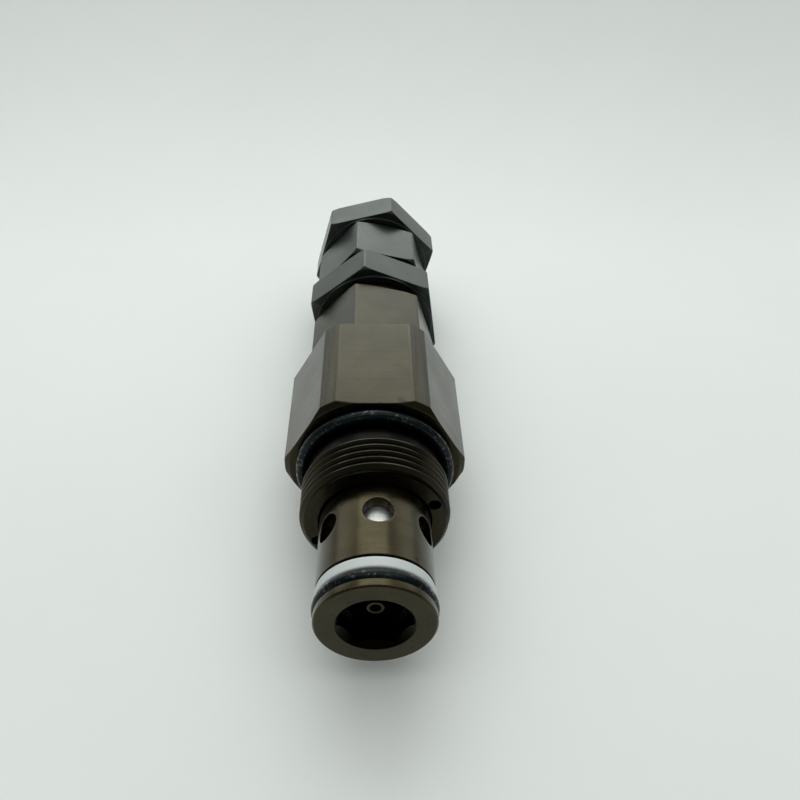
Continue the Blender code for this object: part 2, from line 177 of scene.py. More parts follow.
# ---------------------------------------------------------------- mesh kernel


class Skin:
    """One closed mesh made of rows of points; points in the same place are shared."""

    def __init__(self):
        self.mesh = bmesh.new()
        self.known = {}

    def point(self, x, station, z):
        key = (round(x / WELD), round(station / WELD), round(z / WELD))
        if key not in self.known:
            self.known[key] = self.mesh.verts.new((x, SEAT_Y + station, AXIS_Z + z))
        return self.known[key]

    def polar(self, station, radius, angle):
        return self.point(radius * math.sin(angle), station, radius * math.cos(angle))

    def face(self, corners):
        corners = list(dict.fromkeys(corners))
        if len(corners) > 2 and self.mesh.faces.get(corners) is None:
            self.mesh.faces.new(corners)

    def bridge(self, near, far, closed=True):
        """Quads between two rows of equally many points."""
        last = len(near) if closed else len(near) - 1
        for index in range(last):
            after = (index + 1) % len(near)
            self.face((near[index], near[after], far[after], far[index]))

    def finish(self, name, body, finish, replaces, sharp=SHARP_ANGLE):
        """Make the object, smooth its shading and hand it to the frame."""
        bmesh.ops.recalc_face_normals(self.mesh, faces=self.mesh.faces)
        data = bpy.data.meshes.new(name)
        self.mesh.to_mesh(data)
        self.mesh.free()
        data.shade_smooth()
        data.set_sharp_from_angle(angle=math.radians(sharp))
        data.materials.append(finish)
        piece = bpy.data.objects.new(name, data)
        bpy.context.collection.objects.link(piece)
        normals = piece.modifiers.new("even_shading", "WEIGHTED_NORMAL")
        normals.keep_sharp = True
        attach(piece, body)
        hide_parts(*replaces)
        return piece


def soften(corners, radius=0.15 * MM, steps=3):
    """Round each corner of a closed outline; a corner may give its own radius."""
    points = []
    for index, corner in enumerate(corners):
        here = Vector(corner[:2])
        size = corner[2] if len(corner) > 2 else radius
        back = Vector(corners[index - 1][:2]) - here
        ahead = Vector(corners[(index + 1) % len(corners)][:2]) - here
        reach = min(size, 0.45 * back.length, 0.45 * ahead.length)
        start = here + back.normalized() * reach
        end = here + ahead.normalized() * reach
        for step in range(steps + 1):
            t = step / steps
            curve = start * (1.0 - t) ** 2 + here * 2.0 * t * (1.0 - t) + end * t**2
            points.append((curve.x, curve.y))
    return points


def divide_cones(points, spacing):
    """Add rows where an outline slopes, so that flats can cut it cleanly."""
    dense = []
    for here, after in zip(points, points[1:] + points[:1]):
        dense.append(here)
        slope = min(abs(after[0] - here[0]), abs(after[1] - here[1]))
        pieces = int(slope / spacing)
        for piece in range(1, pieces):
            share = piece / pieces
            dense.append(tuple(a + (b - a) * share for a, b in zip(here, after)))
    return dense


def even_angles(sides, start_degrees=0.0):
    return [math.radians(start_degrees + 360.0 * side / sides) for side in range(sides)]


def hexagon_angles(apothem, corner_radius, turn_degrees):
    """Angles around a hexagon with a corner at the turn, closer at the flats' edges."""
    edge = math.degrees(math.acos(apothem / corner_radius))
    offsets = {0.0}
    offsets.update(step * FLAT_STEP for step in range(1, int(edge / FLAT_STEP) + 1))
    offsets.update(edge + shift for shift in NEAR_EDGE if edge + shift < HALF_FLAT)
    corner = HALF_FLAT - edge
    if corner > FLAT_STEP:
        offsets.update((edge + corner * 0.45, edge + corner * 0.72))
    sector = sorted({-value for value in offsets} | offsets | {HALF_FLAT})
    flats = [turn_degrees + HALF_FLAT + 2.0 * HALF_FLAT * number for number in range(6)]
    return [math.radians(flat + value) for flat in flats for value in sector]


def flat_radius(apothem, count, turn_degrees, angle):
    """Distance from the axis to the nearest of several flats, in one direction."""
    sector = 2.0 * math.pi / count
    offset = (angle - math.radians(turn_degrees) + sector / 2.0) % sector - sector / 2.0
    return apothem / math.cos(offset)


def smooth_min(a, b, blend=0.05 * MM):
    low = min(a, b)
    return low - blend * math.log(math.exp((low - a) / blend) + math.exp((low - b) / blend))


def smooth_max(a, b, blend=0.05 * MM):
    return -smooth_min(-a, -b, blend)


def hexagon_cut(apothem, turn_degrees, start, end, edge=0.2 * MM):
    """A rule that keeps a turned surface inside a hexagon whose end edges are broken."""

    def cut(station, radius, angle):
        if not start - STEP_ASIDE <= station <= end + STEP_ASIDE:
            return radius
        depth = max(0.0, min(station - start, end - station))
        broken = edge - math.sqrt(max(0.0, edge**2 - max(0.0, edge - depth) ** 2))
        limit = flat_radius(apothem, 6, turn_degrees + 30.0, angle) - broken
        return smooth_min(radius, limit)

    return cut


def turned(outline, angles, rule=None, skin=None, closed=True):
    """Revolve an outline; a rule may change the radius by station and angle."""
    skin = skin or Skin()
    rows = []
    for station, radius in outline:
        if rule is None:
            rows.append([skin.polar(station, radius, angle) for angle in angles])
        else:
            rows.append([
                skin.polar(station, rule(station, radius, angle), angle) for angle in angles
            ])
    pairs = zip(rows, rows[1:] + rows[:1]) if closed else zip(rows, rows[1:])
    for near, far in pairs:
        skin.bridge(near, far)
    return skin


THREAD_ROWS = (
    (-0.50, 0.0),
    (-0.41, 0.0),
    (-0.385, 0.05),
    (-0.09, 0.93),
    (-0.065, 1.0),
    (0.0, 1.0),
    (0.065, 1.0),
    (0.09, 0.93),
    (0.385, 0.05),
    (0.41, 0.0),
)


def thread_height(phase):
    """Height of the thread's form, 0 at the root and 1 at the crest."""
    phase = (phase + 0.5) % 1.0 - 0.5
    rows = THREAD_ROWS + ((0.5, 0.0),)
    for (start, low), (end, high) in zip(rows, rows[1:]):
        if phase <= end:
            return low + (high - low) * (phase - start) / (end - start)
    return 0.0


def right_hand_thread(
    skin, angles, start, end, root, crest, pitch, cap=None, fade_start=0.0, fade_end=0.0
):
    """A helical thread between two stations, with rows that follow the helix.

    A cap limits the radius by station, and a fade is the length over which the crest grows.
    """
    count = len(angles)
    turns = [((angle - angles[0]) % (2.0 * math.pi)) / (2.0 * math.pi) for angle in angles]
    per_pitch = len(THREAD_ROWS)
    pitches = math.ceil((end - start) / pitch) + 1
    bases = [
        start + pitch * (number - 0.5 + phase)
        for number in range(pitches + 1)
        for phase, _ in THREAD_ROWS
    ]

    def at(row, column):
        station = min(max(bases[row] + pitch * turns[column], start), end)
        height = thread_height((station - start) / pitch - turns[column])
        if fade_start:
            height *= min(1.0, (station - start) / fade_start)
        if fade_end:
            height *= min(1.0, (end - station) / fade_end)
        radius = root + (crest - root) * height
        if cap:
            radius = min(radius, cap(station))
        return skin.polar(station, radius, angles[column])

    grid = [[at(row, column) for column in range(count)] for row in range(len(bases))]
    for row in range(len(bases) - 1):
        for column in range(count - 1):
            skin.face((
                grid[row][column],
                grid[row][column + 1],
                grid[row + 1][column + 1],
                grid[row + 1][column],
            ))
        ahead = min(row + per_pitch, len(bases) - 1)
        further = min(row + per_pitch + 1, len(bases) - 1)
        skin.face((grid[row][-1], grid[ahead][0], grid[further][0], grid[row + 1][-1]))
    return grid[0], grid[-1]


def ring_section(centre_station, centre_radius, half_length, half_height, power=2.0, steps=28):
    """Outline of a seal's section: a circle at power 2, squarer above it."""
    outline = []
    for step in range(steps):
        angle = 2.0 * math.pi * step / steps
        across = math.cos(angle)
        along = math.sin(angle)
        swell = (abs(across) ** power + abs(along) ** power) ** (-1.0 / power)
        outline.append((
            centre_station + half_length * along * swell,
            centre_radius + half_height * across * swell,
        ))
    return outline


# ---------------------------------------------------------------- materials


class Tree:
    """Short words for building a material's node tree."""

    def __init__(self, name):
        self.material = bpy.data.materials.new(name)
        self.material.use_nodes = True
        self.tree = self.material.node_tree
        self.shader = self.tree.nodes["Principled BSDF"]

    def node(self, kind, **settings):
        made = self.tree.nodes.new(kind)
        for key, value in settings.items():
            setattr(made, key, value)
        return made

    def link(self, source, target):
        self.tree.links.new(source, target)

    def feed(self, socket, value):
        if hasattr(value, "is_output"):
            self.link(value, socket)
        else:
            socket.default_value = value

    def math(self, operation, *values):
        made = self.node("ShaderNodeMath", operation=operation)
        for socket, value in zip(made.inputs, values):
            self.feed(socket, value)
        return made.outputs[0]

    def times(self, first, second):
        return self.math("MULTIPLY", first, second)

    def inverse(self, share):
        return self.math("SUBTRACT", 1.0, share)

    def join(self, x, y, z):
        made = self.node("ShaderNodeCombineXYZ")
        for socket, value in zip(made.inputs, (x, y, z)):
            self.feed(socket, value)
        return made.outputs[0]

    def stretch(self, parts, factors):
        """Coordinates scaled apart, for noise that is drawn out one way."""
        return self.join(*(self.times(part, factor) for part, factor in zip(parts, factors)))

    def noise(self, vector, scale, detail=3.0, roughness=0.5):
        made = self.node("ShaderNodeTexNoise")
        self.link(vector, made.inputs["Vector"])
        made.inputs["Scale"].default_value = scale
        made.inputs["Detail"].default_value = detail
        made.inputs["Roughness"].default_value = roughness
        return made.outputs["Fac"]

    def remap(self, value, low, high, to_low, to_high):
        made = self.node("ShaderNodeMapRange")
        self.feed(made.inputs["Value"], value)
        made.inputs["From Min"].default_value = low
        made.inputs["From Max"].default_value = high
        made.inputs["To Min"].default_value = to_low
        made.inputs["To Max"].default_value = to_high
        return made.outputs["Result"]

    def mix(self, share, first, second):
        made = self.node("ShaderNodeMix", data_type="RGBA")
        self.feed(made.inputs["Factor"], share)
        for socket, value in ((made.inputs[6], first), (made.inputs[7], second)):
            self.feed(socket, (*value, 1.0) if isinstance(value, tuple) else value)
        return made.outputs[2]

    def blend(self, share, first, second):
        """Mix of two numbers."""
        made = self.node("ShaderNodeMix", data_type="FLOAT")
        self.feed(made.inputs["Factor"], share)
        self.feed(made.inputs[2], first)
        self.feed(made.inputs[3], second)
        return made.outputs[0]

    def scale(self, colour, factor):
        made = self.node("ShaderNodeVectorMath", operation="SCALE")
        self.link(colour, made.inputs[0])
        self.link(factor, made.inputs["Scale"])
        return made.outputs[0]

    def bump(self, height, strength, distance):
        made = self.node("ShaderNodeBump")
        made.inputs["Strength"].default_value = strength
        made.inputs["Distance"].default_value = distance
        self.link(height, made.inputs["Height"])
        return made.outputs["Normal"]

    def place(self):
        """Coordinates around the valve's axis: x, station, z, radius and end-face share."""
        coordinates = self.node("ShaderNodeTexCoord")
        parts = self.node("ShaderNodeSeparateXYZ")
        self.link(coordinates.outputs["Object"], parts.inputs[0])
        x, y, z = parts.outputs
        z = self.math("SUBTRACT", z, AXIS_Z)
        y = self.math("SUBTRACT", y, SEAT_Y)
        radius = self.math("SQRT", self.math("ADD", self.times(x, x), self.times(z, z)))
        facing = self.node("ShaderNodeSeparateXYZ")
        self.link(coordinates.outputs["Normal"], facing.inputs[0])
        on_end = self.math("GREATER_THAN", self.math("ABSOLUTE", facing.outputs[1]), 0.8)
        return x, y, z, radius, on_end


def tint(colour, factor):
    return tuple(factor * value for value in colour)


def steel(
    name, dark, light, roughness, coat=0.0, line_depth=0.5, pits=0.0,
    strip_radius=None, shaded_inner_radius=None, highlight_crest=None,
):
    """Turned or milled steel: fine tool lines, mottled oxide, oil smears and a few pits.

    Past strip_radius a side face is a hexagon's corner strip, streaked along the valve. Ahead of
    the seating face, side faces inside the shaded inner radius (thread flanks and bores) carry
    painted shade. Thread crests at the given crest radius carry a painted highlight in their colour.
    """
    t = Tree(name)
    x, y, z, radius, on_end = t.place()
    plain = t.join(x, y, z)
    on_side = t.inverse(on_end)
    ahead = t.math("LESS_THAN", y, 0.0)

    # Tool lines run around the valve: along it on a side face, and by radius on an end face
    run = t.blend(on_end, y, radius)
    lines = t.noise(t.stretch((x, z, run), (22.0, 22.0, 2600.0)), 1.0, 4.0, 0.65)
    grooves = t.noise(t.stretch((x, z, run), (9.0, 9.0, 700.0)), 1.0, 2.0)
    cloud = t.noise(plain, 130.0, 4.0, 0.6)
    fine = t.noise(plain, 2400.0, 4.0, 0.7)

    tone = t.math("ADD", t.times(cloud, 0.5), t.times(lines, 0.5))
    colour = t.mix(t.remap(tone, 0.38, 0.62, 0.0, 1.0), dark, light)
    colour = t.scale(colour, t.remap(fine, 0.3, 0.7, 0.82, 1.18))
    coat_share = coat
    # Painted shade: side faces ahead of the seating face and inside the given radius (thread flanks,
    # roots, bores) are darkened and lose most of their coat
    if shaded_inner_radius:
        painted_shade = t.times(t.times(t.math("LESS_THAN", radius, shaded_inner_radius), ahead), on_side)
        colour = t.scale(colour, t.inverse(t.times(painted_shade, 0.92)))
        coat_share = t.times(coat, t.inverse(t.times(painted_shade, 0.9)))
    # Painted highlight: the thread crests get a lighter colour, patchy with the oxide cloud
    if highlight_crest:
        off_crest = t.math("ABSOLUTE", t.math("SUBTRACT", radius, highlight_crest))
        crest_highlight = t.times(t.times(t.math("LESS_THAN", off_crest, 0.06 * MM), ahead), on_side)
        crest_highlight = t.times(crest_highlight, t.remap(cloud, 0.35, 0.6, 0.3, 1.0))
        colour = t.mix(crest_highlight, colour, (0.085, 0.083, 0.076))

    height = t.math("ADD", t.times(lines, line_depth), t.times(grooves, 0.5 * line_depth))
    height = t.math("ADD", height, t.times(fine, 0.35 * line_depth))
    if pits:
        threshold = 0.765 - 0.02 * pits
        hole = t.remap(t.noise(plain, 420.0, 1.0, 0.4), threshold, threshold + 0.025, 0.0, 0.8)
        colour = t.mix(hole, colour, tint(dark, 0.3))
        height = t.math("SUBTRACT", height, hole)
    if strip_radius:
        strip = t.times(t.math("GREATER_THAN", radius, strip_radius), on_side)
        streaks = t.noise(t.stretch((x, z, y), (1500.0, 1500.0, 40.0)), 1.0, 3.0)
        streak_share = t.remap(streaks, 0.3, 0.7, 0.0, 1.0)
        colour = t.mix(strip, colour, t.mix(streak_share, tint(dark, 0.6), tint(light, 1.4)))
    t.link(colour, t.shader.inputs["Base Color"])

    smear = t.noise(plain, 60.0, 3.0, 0.55)
    smeared = t.remap(smear, 0.35, 0.65, roughness - 0.04, roughness + 0.05)
    rough = t.math("ADD", smeared, t.remap(lines, 0.3, 0.7, -0.03, 0.03))
    t.link(rough, t.shader.inputs["Roughness"])
    t.link(t.bump(height, 0.35, 0.03 * MM), t.shader.inputs["Normal"])
    t.shader.inputs["Metallic"].default_value = 1.0
    t.feed(t.shader.inputs["Coat Weight"], coat_share)
    t.shader.inputs["Coat Roughness"].default_value = 0.25
    t.shader.inputs["Coat IOR"].default_value = 1.5
    return t.material


def rubber(name, base, roughness):
    """Oiled rubber: an uneven film, fine specks, and small drops that shine."""
    t = Tree(name)
    x, y, z, _, _ = t.place()
    plain = t.join(x, y, z)
    film = t.noise(plain, 220.0, 4.0, 0.6)
    specks = t.noise(plain, 2600.0, 2.0, 0.6)
    drops = t.noise(plain, 900.0, 3.0, 0.6)
    colour = t.mix(t.remap(film, 0.35, 0.65, 0.0, 1.0), base, tint(base, 2.2))
    t.link(colour, t.shader.inputs["Base Color"])
    rough = t.remap(film, 0.3, 0.7, roughness - 0.08, roughness + 0.15)
    t.link(rough, t.shader.inputs["Roughness"])
    height = t.math("ADD", film, t.times(specks, 0.5))
    t.link(t.bump(height, 0.6, 0.06 * MM), t.shader.inputs["Normal"])
    t.shader.inputs["Specular IOR Level"].default_value = 0.14
    t.link(t.remap(drops, 0.57, 0.62, 0.0, 1.0), t.shader.inputs["Coat Weight"])
    t.shader.inputs["Coat Roughness"].default_value = 0.08
    return t.material


def ptfe(name, base):
    """Matte white fluoropolymer, turned, with a little grey handling dirt."""
    t = Tree(name)
    x, y, z, radius, _ = t.place()
    plain = t.join(x, y, z)
    dirt = t.noise(plain, 240.0, 5.0, 0.65)
    colour = t.mix(t.remap(dirt, 0.52, 0.78, 0.0, 0.6), base, (0.55, 0.58, 0.57))
    t.link(colour, t.shader.inputs["Base Color"])
    run = t.math("ADD", y, radius)
    lines = t.noise(t.stretch((x, z, run), (20.0, 20.0, 3000.0)), 1.0, 3.0)
    t.link(t.remap(lines, 0.3, 0.7, 0.42, 0.56), t.shader.inputs["Roughness"])
    t.link(t.bump(lines, 0.25, 0.03 * MM), t.shader.inputs["Normal"])
    t.shader.inputs["Subsurface Weight"].default_value = 0.15
    t.shader.inputs["Subsurface Scale"].default_value = 1.0 * MM
    return t.material


def floor_finish():
    """Pale matte card with very faint mottling."""
    t = Tree("pale_card")
    coordinates = t.node("ShaderNodeTexCoord").outputs["Object"]
    cloud = t.noise(coordinates, 9.0, 4.0, 0.6)
    fibre = t.noise(coordinates, 900.0, 3.0, 0.6)
    share = t.remap(cloud, 0.3, 0.7, 0.0, 1.0)
    colour = t.mix(share, (0.765, 0.795, 0.775), (0.79, 0.815, 0.80))
    t.link(colour, t.shader.inputs["Base Color"])
    t.link(t.bump(fibre, 0.08, 0.1 * MM), t.shader.inputs["Normal"])
    t.shader.inputs["Roughness"].default_value = 0.55
    return t.material


# Black steel carries painted shade inside the thread crest and a painted highlight on the crests
BLACK_STEEL = steel(
    "black_steel", (0.013, 0.0104, 0.0022), (0.026, 0.0214, 0.0068), 0.31,
    coat=0.3, pits=0.6, strip_radius=HEX_CORNER - 0.25 * MM,
    shaded_inner_radius=THREAD_CREST - 0.15 * MM, highlight_crest=THREAD_CREST,
)
# Sleeve steel carries painted shade in its bore and ports, which also darkens the orifice stem
SLEEVE_STEEL = steel(
    "sleeve_steel", (0.032, 0.0262, 0.0115), (0.050, 0.0415, 0.0205), 0.24,
    coat=0.2, pits=0.2, shaded_inner_radius=SLEEVE_RADIUS - 0.35 * MM,
)
NUT_STEEL = steel(
    "nut_steel", (0.032, 0.038, 0.034), (0.048, 0.056, 0.051), 0.40, coat=0.4, pits=0.3,
)
GROUND_STEEL = steel(
    "ground_steel", (0.42, 0.42, 0.40), (0.64, 0.64, 0.62), 0.42, line_depth=1.2,
)
SPRING_STEEL = steel("spring_steel", (0.22, 0.22, 0.22), (0.34, 0.34, 0.34), 0.30)
BLACK_RUBBER = rubber("black_rubber", (0.0020, 0.0045, 0.0048), 0.18)
WHITE_PTFE = ptfe("white_ptfe", (0.50, 0.54, 0.535))


# ---------------------------------------------------------------- pieces


def drill(piece, tool_skin, name):
    """Subtract a hidden tool from a piece, then drop the tool."""
    bmesh.ops.recalc_face_normals(tool_skin.mesh, faces=tool_skin.mesh.faces)
    data = bpy.data.meshes.new(name)
    tool_skin.mesh.to_mesh(data)
    tool_skin.mesh.free()
    tool = bpy.data.objects.new(name, data)
    bpy.context.collection.objects.link(tool)
    step = piece.modifiers.new(name, "BOOLEAN")
    step.operation = "DIFFERENCE"
    step.solver = "EXACT"
    step.object = tool
    piece.modifiers.move(len(piece.modifiers) - 1, 0)
    with bpy.context.temp_override(object=piece, active_object=piece, selected_objects=[piece]):
        bpy.ops.object.modifier_apply(modifier=name)
    bpy.data.objects.remove(tool, do_unlink=True)
    piece.data.set_sharp_from_angle(angle=math.radians(SHARP_ANGLE))


def make_valve_body():
    angles = hexagon_angles(HEX_APOTHEM, HEX_CORNER, HEX_TURN)
    skin = Skin()
    bore = SLEEVE_RADIUS + CLEARANCE

    def front_chamfer(station):
        return 16.45 * MM + (station - BODY_FACE) * 1.05

    first, last = right_hand_thread(
        skin, angles, BODY_FACE + 0.05 * MM, THREAD_REAR, THREAD_ROOT, THREAD_CREST,
        THREAD_PITCH, cap=front_chamfer, fade_end=0.8 * MM,
    )
    outline = soften([
        (THREAD_REAR + 0.6 * MM, THREAD_ROOT, 0.05 * MM),
        (0.0, THREAD_ROOT, 0.3 * MM),
        (0.0, 21.1 * MM, 0.2 * MM),
        (0.85 * MM, HEX_CORNER, 0.25 * MM),
        (HEX_LENGTH, HEX_CORNER, 0.3 * MM),
        (HEX_LENGTH, 14.3 * MM),
        (HEX_LENGTH - 0.5 * MM, 13.95 * MM),
        (13.0 * MM, 13.95 * MM),
        (13.0 * MM, 16.4 * MM),
        (10.0 * MM, 16.4 * MM),
        (10.0 * MM, 12.3 * MM),
        (2.0 * MM, 12.3 * MM),
        (2.0 * MM, 9.7 * MM),
        (-1.0 * MM, 9.7 * MM),
        (-1.0 * MM, 11.8 * MM),
        (-13.6 * MM, 11.8 * MM),
        (-13.6 * MM, bore),
        (BODY_FACE, bore, 0.2 * MM),
        (BODY_FACE, 16.4 * MM, 0.05 * MM),
    ])
    rule = hexagon_cut(HEX_APOTHEM, HEX_TURN, 0.0, HEX_LENGTH)
    outline = divide_cones(outline, ROW_SPACING)
    rows = []
    for station, radius in outline:
        in_hex = station > -STEP_ASIDE and radius > THREAD_CREST
        rows.append([
            skin.polar(station, rule(station, radius, angle) if in_hex else radius, angle)
            for angle in angles
        ])
    for near, far in zip([last] + rows, rows + [first]):
        skin.bridge(near, far)
    body = skin.finish("body_block", "body", BLACK_STEEL, ["valve_body"])
    for number, degrees in enumerate(DRAIN_ANGLES):
        tool = Skin()
        angle = math.radians(degrees)
        centre = Vector((DRAIN_CIRCLE * math.sin(angle), DRAIN_CIRCLE * math.cos(angle)))
        stages = (
            (BODY_FACE - 1.0 * MM, DRAIN_RADIUS + 0.15 * MM),
            (BODY_FACE, DRAIN_RADIUS + 0.15 * MM),
            (BODY_FACE + 0.15 * MM, DRAIN_RADIUS),
            (DRAIN_END, DRAIN_RADIUS),
        )
        rows = []
        for station, radius in stages:
            rows.append([
                tool.point(centre.x + radius * math.sin(a), station, centre.y + radius * math.cos(a))
                for a in even_angles(HOLE_SIDES)
            ])
        for near, far in zip(rows, rows[1:]):
            tool.bridge(near, far)
        tool.face(rows[0])
        tool.face(rows[-1])
        drill(body, tool, f"drain_{number}")


def square_walk():
    """Points once around a square from -1 to 1, as steps across and along the valve."""
    places = []
    for side in range(4):
        for step in range(PORT_SIDES):
            share = -1.0 + 2.0 * step / PORT_SIDES
            places.append(((share, 1.0), (1.0, -share), (-share, -1.0), (-1.0, share))[side])
    return places


def port_patch(skin, turn, radius, rim_points, rim_places):
    """Surface of one sector of a cylinder around a round port, between rim and sector edge."""
    half_turn = math.pi / PORT_COUNT
    rows = [rim_points]
    for grow in PORT_RINGS:
        row = []
        for (across, along), (rim_swing, rim_station) in zip(square_walk(), rim_places):
            swing = rim_swing + (across * half_turn - rim_swing) * grow
            station = rim_station + (PORT_STATION + along * PORT_BAND - rim_station) * grow
            row.append(skin.polar(station, radius, turn + swing))
        rows.append(row)
    for near, far in zip(rows, rows[1:]):
        skin.bridge(near, far)


def port_rim(skin, turn, surface, hole, depth):
    """A circle of points where a drilled hole meets a cylinder, and their angles and stations."""
    points = []
    places = []
    for across, along in square_walk():
        along *= PORT_RIM_ASPECT
        length = math.hypot(across, along)
        x = hole * across / length
        station = PORT_STATION + hole * along / length
        height = math.sqrt(surface**2 - x**2) - depth
        swing = math.atan2(x, height)
        points.append(skin.polar(station, math.hypot(x, height), turn + swing))
        places.append((swing, station))
    return points, places


def make_sleeve():
    sector = 360.0 / PORT_COUNT
    angles = even_angles(PORT_COUNT * PORT_SIDES, PORT_TURN - sector / 2.0)
    skin = Skin()

    def socket(station, radius, angle):
        if station < SOCKET_FLOOR - STEP_ASIDE / 2.0 and radius <= MOUTH_RADIUS + STEP_ASIDE:
            return smooth_max(radius, flat_radius(SOCKET_APOTHEM, 6, 0.0, angle), 0.03 * MM)
        return radius

    front = soften([
        (PORT_STATION - PORT_BAND, SLEEVE_BORE, 0.0),
        (-32.6 * MM, SLEEVE_BORE),
        (-35.8 * MM, SEAT_BORE),
        (SOCKET_FLOOR, SEAT_BORE, 0.0),
        (SOCKET_FLOOR - STEP_ASIDE, SEAT_BORE, 0.0),
        (NOSE_FACE + MOUTH_RADIUS - SEAT_BORE, SEAT_BORE, 0.0),
        (NOSE_FACE, MOUTH_RADIUS, 0.12 * MM),
        (NOSE_FACE, NOSE_RADIUS - LIP_CHAMFER, 0.05 * MM),
        (NOSE_FACE + LIP_CHAMFER, NOSE_RADIUS, 0.05 * MM),
        (GROOVE_FRONT, NOSE_RADIUS, 0.12 * MM),
        (GROOVE_FRONT, GROOVE_FLOOR),
        (GROOVE_REAR, GROOVE_FLOOR),
        (GROOVE_REAR, SLEEVE_RADIUS, 0.12 * MM),
        (PORT_STATION - PORT_BAND, SLEEVE_RADIUS, 0.0),
    ])
    front = divide_cones(front, ROW_SPACING)
    turned(front, angles, socket, skin, closed=False)
    rear = soften([
        (PORT_STATION + PORT_BAND, SLEEVE_RADIUS, 0.0),
        (-17.2 * MM, SLEEVE_RADIUS),
        (-17.2 * MM, 11.15 * MM),
        (-14.9 * MM, 11.15 * MM),
        (-14.9 * MM, SLEEVE_RADIUS),
        (-13.9 * MM, SLEEVE_RADIUS),
        (-13.9 * MM, 11.5 * MM),
        (SLEEVE_END, 11.5 * MM),
        (SLEEVE_END, SLEEVE_BORE),
        (PORT_STATION + PORT_BAND, SLEEVE_BORE, 0.0),
    ])
    turned(rear, angles, None, skin, closed=False)
    for port in range(PORT_COUNT):
        turn = math.radians(PORT_TURN + sector * port)
        rows = []
        bends = [math.pi / 2.0 * step / PORT_EDGE_STEPS for step in range(PORT_EDGE_STEPS + 1)]
        for bend in bends:
            hole = PORT_RADIUS + PORT_EDGE * (1.0 - math.sin(bend))
            depth = PORT_EDGE * (1.0 - math.cos(bend))
            points, places = port_rim(skin, turn, SLEEVE_RADIUS, hole, depth)
            if bend == 0.0:
                port_patch(skin, turn, SLEEVE_RADIUS, points, places)
            rows.append(points)
        for bend in reversed(bends):
            hole = PORT_RADIUS + PORT_INNER_EDGE * (1.0 - math.sin(bend))
            depth = -PORT_INNER_EDGE * (1.0 - math.cos(bend))
            points, places = port_rim(skin, turn, SLEEVE_BORE, hole, depth)
            rows.append(points)
            if bend == 0.0:
                port_patch(skin, turn, SLEEVE_BORE, points, places)
        for near, far in zip(rows, rows[1:]):
            skin.bridge(near, far)
    skin.finish("ported_sleeve", "body", SLEEVE_STEEL, ["sleeve"])


def make_seal(name, node, body, outline, finish):
    turned(outline, even_angles(SEAL_SIDES)).finish(name, body, finish, [node], sharp=80.0)


def make_seals():
    nose = ring_section(-43.2 * MM, 11.97 * MM, 1.42 * MM, 1.43 * MM)
    make_seal("nose_seal", "nose_o_ring", "body", nose, BLACK_RUBBER)
    backup = ring_section(-40.38 * MM, 11.65 * MM, 1.36 * MM, 1.32 * MM, power=9.0, steps=48)
    make_seal("nose_backup", "nose_backup_ring", "body", backup, WHITE_PTFE)
    under_hex = ring_section(-1.62 * MM, 18.1 * MM, 1.42 * MM, 1.42 * MM)
    make_seal("hex_seal", "body_o_ring", "body", under_hex, BLACK_RUBBER)
    inner = (
        ("sleeve_seal", "sleeve_o_ring", "body", -16.05, 12.2, 0.85),
        ("pilot_seat_seal", "pilot_seat_o_ring", "body", 5.75, 11.35, 0.8),
        ("housing_seal", "housing_o_ring", "body", 30.6, 12.95, 0.9),
        ("plug_seal", "plug_o_ring", "plug_travel", 44.5, 10.25, 0.8),
        ("piston_seal", "set_piston_o_ring", "set_piston", 68.2, 6.5, 0.8),
        ("screw_seal", "screw_o_ring", "screw_travel", 80.8, 6.5, 0.8),
    )
    for name, node, body, station, radius, section in inner:
        outline = ring_section(station * MM, radius * MM, section * MM, section * MM, steps=16)
        make_seal(name, node, body, outline, BLACK_RUBBER)


def make_coil(node, start, end, mean_radius, wire_radius, turns, parts):
    """A compression spring with closed ends, made in parts.

    A part is its name, the turn it ends at, the body it rides on, its joint, how far that joint
    moves the part's loose end, and which end stays with the body.
    """
    around = even_angles(WIRE_SIDES)
    closed_rise = CLOSED_RISE * wire_radius
    travel = (end - start) - 2.0 * wire_radius - 2.0 * closed_rise

    def centre_at(done):
        """Station of the middle of the wire after this many turns."""
        first = min(done, CLOSED_TURNS) / CLOSED_TURNS
        free = min(max((done - CLOSED_TURNS) / (turns - 2.0 * CLOSED_TURNS), 0.0), 1.0)
        last = max(0.0, done - (turns - CLOSED_TURNS)) / CLOSED_TURNS
        return start + wire_radius + closed_rise * (first + last) + travel * free

    begin = 0.0
    for name, until, body, joint, reach, fixed_end in parts:
        skin = Skin()
        steps = int((until - begin) * COIL_STEPS)
        rows = []
        for step in range(steps + 1):
            done = begin + (until - begin) * step / steps
            middle = centre_at(done)
            rows.append([
                skin.polar(
                    middle + wire_radius * math.sin(a),
                    mean_radius + wire_radius * math.cos(a),
                    2.0 * math.pi * done,
                )
                for a in around
            ])
        for near, far in zip(rows, rows[1:]):
            skin.bridge(near, far)
        skin.face(rows[0])
        skin.face(rows[-1])
        coil = skin.finish(name, body, SPRING_STEEL, [node], sharp=50.0)
        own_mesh(coil)
        begin = until + COIL_SEAM


